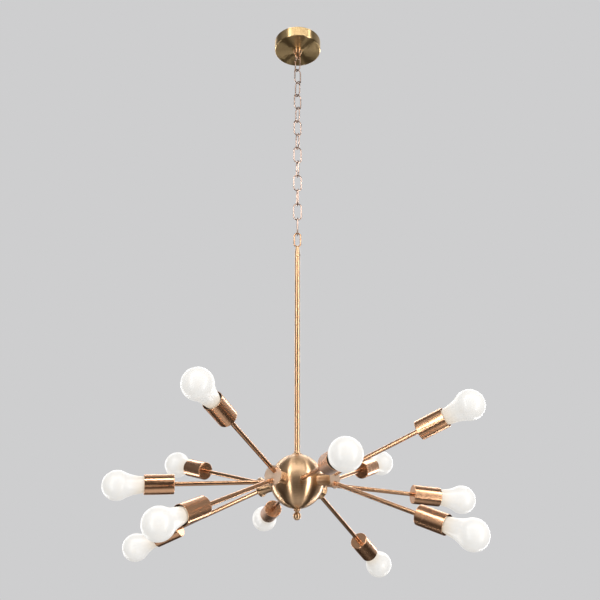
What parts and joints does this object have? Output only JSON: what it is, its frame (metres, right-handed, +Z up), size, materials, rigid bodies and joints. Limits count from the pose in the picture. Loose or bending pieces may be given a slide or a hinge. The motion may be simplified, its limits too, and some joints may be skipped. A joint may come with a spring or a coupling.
{
  "type": "sputnik chandelier",
  "caption": "Hanging ceiling light with round lamps on straight arms that radiate from a ball under a rod and chain.",
  "frame": {"origin": "centre of the ceiling face, midway between the crossbar's slots and level with the canopy's rim", "axes": "+Z up, out of the ceiling face; the crossbar's slots lie along X; -Y faces the viewer of the picture"},
  "size_m": [0.7718, 0.7718, 1.3255],
  "materials": {
    "brushed_brass": "brushed antique brass with a coppery tan, lacquered",
    "chain_brass": "antique brass wire, darker than the turned pieces",
    "zinc_steel": "zinc plated",
    "green_screw": "green plated earth screw",
    "bright_steel": "bright",
    "contact_brass": "plain pressed brass",
    "holder_black": "black moulded insulator",
    "lead_sleeve": "insulating sleeve",
    "splice_cap": "moulded",
    "frosted_glass": "frosted white inside, cap in plated brass"
  },
  "bodies": {
    "canopy": {"canopy": "brushed_brass", "crossbar": "zinc_steel", "ground_screw": "green_screw", "hanger_nipple": "zinc_steel", "nipple_nut": "zinc_steel", "collar_ring": "brushed_brass", "canopy_loop": "chain_brass"},
    "chain_link_01": {"chain_link_01": "chain_brass"},
    "chain_link_02": {"chain_link_02": "chain_brass"},
    "chain_link_03": {"chain_link_03": "chain_brass"},
    "chain_link_04": {"chain_link_04": "chain_brass"},
    "chain_link_05": {"chain_link_05": "chain_brass"},
    "chain_link_06": {"chain_link_06": "chain_brass"},
    "chain_link_07": {"chain_link_07": "chain_brass"},
    "chain_link_08": {"chain_link_08": "chain_brass"},
    "chain_link_09": {"chain_link_09": "chain_brass"},
    "chain_link_10": {"chain_link_10": "chain_brass"},
    "chain_link_11": {"chain_link_11": "chain_brass"},
    "chain_link_12": {"chain_link_12": "chain_brass"},
    "chain_link_13": {"chain_link_13": "chain_brass"},
    "hub": {"arm_leads": "lead_sleeve", "arm_nuts": "zinc_steel", "arm_pod_1": "brushed_brass", "arm_pod_2": "brushed_brass", "arm_pod_3": "brushed_brass", "arm_pod_4": "brushed_brass", "arm_seats": "brushed_brass", "arm_tubes_splayed": "brushed_brass", "arm_tubes_straight": "brushed_brass", "centre_contacts": "contact_brass", "cup_nuts": "zinc_steel", "down_rod": "brushed_brass", "finial": "brushed_brass", "finial_washer": "brushed_brass", "hub_ball": "brushed_brass", "hub_stem": "zinc_steel", "lampholders": "holder_black", "loop_screw": "bright_steel", "pod_leads": "lead_sleeve", "pod_nuts": "zinc_steel", "rod_loop": "chain_brass", "rod_seat": "brushed_brass", "screw_shells": "contact_brass", "socket_cups_splayed": "brushed_brass", "socket_cups_straight": "brushed_brass", "splice_caps": "splice_cap", "stem_nuts": "zinc_steel"},
    "bulb_01": {"bulb_01": "frosted_glass"},
    "bulb_02": {"bulb_02": "frosted_glass"},
    "bulb_03": {"bulb_03": "frosted_glass"},
    "bulb_04": {"bulb_04": "frosted_glass"},
    "bulb_05": {"bulb_05": "frosted_glass"},
    "bulb_06": {"bulb_06": "frosted_glass"},
    "bulb_07": {"bulb_07": "frosted_glass"},
    "bulb_08": {"bulb_08": "frosted_glass"},
    "bulb_09": {"bulb_09": "frosted_glass"},
    "bulb_10": {"bulb_10": "frosted_glass"},
    "bulb_11": {"bulb_11": "frosted_glass"},
    "bulb_12": {"bulb_12": "frosted_glass"}
  },
  "joints": [
    {"name": "link_01_swing", "type": "hinge", "parent": "canopy", "child": "chain_link_01", "pos_m": [0, 0, -0.05365], "axis": [0.7071, 0.7071, 0], "range_deg": [-10, 10]},
    {"name": "link_02_swing", "type": "hinge", "parent": "chain_link_01", "child": "chain_link_02", "pos_m": [0, 0, -0.09375], "axis": [-0.6663, 0.7456, 0], "range_deg": [-10, 10]},
    {"name": "link_03_swing", "type": "hinge", "parent": "chain_link_02", "child": "chain_link_03", "pos_m": [0, 0, -0.13425], "axis": [0.7818, 0.6235, 0], "range_deg": [-10, 10]},
    {"name": "link_04_swing", "type": "hinge", "parent": "chain_link_03", "child": "chain_link_04", "pos_m": [0, 0, -0.17475], "axis": [0.5787, -0.8156, 0], "range_deg": [-10, 10]},
    {"name": "link_05_swing", "type": "hinge", "parent": "chain_link_04", "child": "chain_link_05", "pos_m": [0, 0, -0.21525], "axis": [-0.8467, -0.532, 0], "range_deg": [-10, 10]},
    {"name": "link_06_swing", "type": "hinge", "parent": "chain_link_05", "child": "chain_link_06", "pos_m": [0, 0, -0.25575], "axis": [-0.4837, 0.8752, 0], "range_deg": [-10, 10]},
    {"name": "link_07_swing", "type": "hinge", "parent": "chain_link_06", "child": "chain_link_07", "pos_m": [0, 0, -0.29625], "axis": [0.901, 0.4339, 0], "range_deg": [-10, 10]},
    {"name": "link_08_swing", "type": "hinge", "parent": "chain_link_07", "child": "chain_link_08", "pos_m": [0, 0, -0.33675], "axis": [0.3827, -0.9239, 0], "range_deg": [-10, 10]},
    {"name": "link_09_swing", "type": "hinge", "parent": "chain_link_08", "child": "chain_link_09", "pos_m": [0, 0, -0.37725], "axis": [-0.9439, -0.3303, 0], "range_deg": [-10, 10]},
    {"name": "link_10_swing", "type": "hinge", "parent": "chain_link_09", "child": "chain_link_10", "pos_m": [0, 0, -0.41775], "axis": [-0.2768, 0.9609, 0], "range_deg": [-10, 10]},
    {"name": "link_11_swing", "type": "hinge", "parent": "chain_link_10", "child": "chain_link_11", "pos_m": [0, 0, -0.45825], "axis": [0.9749, 0.2225, 0], "range_deg": [-10, 10]},
    {"name": "link_12_swing", "type": "hinge", "parent": "chain_link_11", "child": "chain_link_12", "pos_m": [0, 0, -0.49875], "axis": [0.1675, -0.9859, 0], "range_deg": [-10, 10]},
    {"name": "link_13_swing", "type": "hinge", "parent": "chain_link_12", "child": "chain_link_13", "pos_m": [0, 0, -0.53925], "axis": [-0.9937, -0.112, 0], "range_deg": [-10, 10]},
    {"name": "rod_swing", "type": "hinge", "parent": "chain_link_13", "child": "hub", "pos_m": [0, 0, -0.57975], "axis": [-0.0561, 0.9984, 0], "range_deg": [-10, 10]},
    {"name": "bulb_01_unscrew", "type": "slide", "parent": "hub", "child": "bulb_01", "axis": [0.2245, -0.9723, -0.0645], "range_m": [0, 0.0252]},
    {"name": "bulb_02_unscrew", "type": "slide", "parent": "hub", "child": "bulb_02", "axis": [0.9723, 0.2245, -0.0645], "range_m": [0, 0.0252]},
    {"name": "bulb_03_unscrew", "type": "slide", "parent": "hub", "child": "bulb_03", "axis": [-0.2245, 0.9723, -0.0645], "range_m": [0, 0.0252]},
    {"name": "bulb_04_unscrew", "type": "slide", "parent": "hub", "child": "bulb_04", "axis": [-0.9723, -0.2245, -0.0645], "range_m": [0, 0.0252]},
    {"name": "bulb_05_unscrew", "type": "slide", "parent": "hub", "child": "bulb_05", "axis": [-0.4068, -0.86, 0.308], "range_m": [0, 0.0252]},
    {"name": "bulb_06_unscrew", "type": "slide", "parent": "hub", "child": "bulb_06", "axis": [-0.582, -0.7225, -0.3732], "range_m": [0, 0.0252]},
    {"name": "bulb_07_unscrew", "type": "slide", "parent": "hub", "child": "bulb_07", "axis": [0.8151, -0.4798, 0.3247], "range_m": [0, 0.0252]},
    {"name": "bulb_08_unscrew", "type": "slide", "parent": "hub", "child": "bulb_08", "axis": [0.7674, -0.509, -0.3899], "range_m": [0, 0.0252]},
    {"name": "bulb_09_unscrew", "type": "slide", "parent": "hub", "child": "bulb_09", "axis": [0.5169, 0.7919, 0.3251], "range_m": [0, 0.0252]},
    {"name": "bulb_10_unscrew", "type": "slide", "parent": "hub", "child": "bulb_10", "axis": [0.4719, 0.7906, -0.3902], "range_m": [0, 0.0252]},
    {"name": "bulb_11_unscrew", "type": "slide", "parent": "hub", "child": "bulb_11", "axis": [-0.6996, 0.6611, 0.2711], "range_m": [0, 0.0252]},
    {"name": "bulb_12_unscrew", "type": "slide", "parent": "hub", "child": "bulb_12", "axis": [-0.8829, 0.3278, -0.3363], "range_m": [0, 0.0252]}
  ]
}
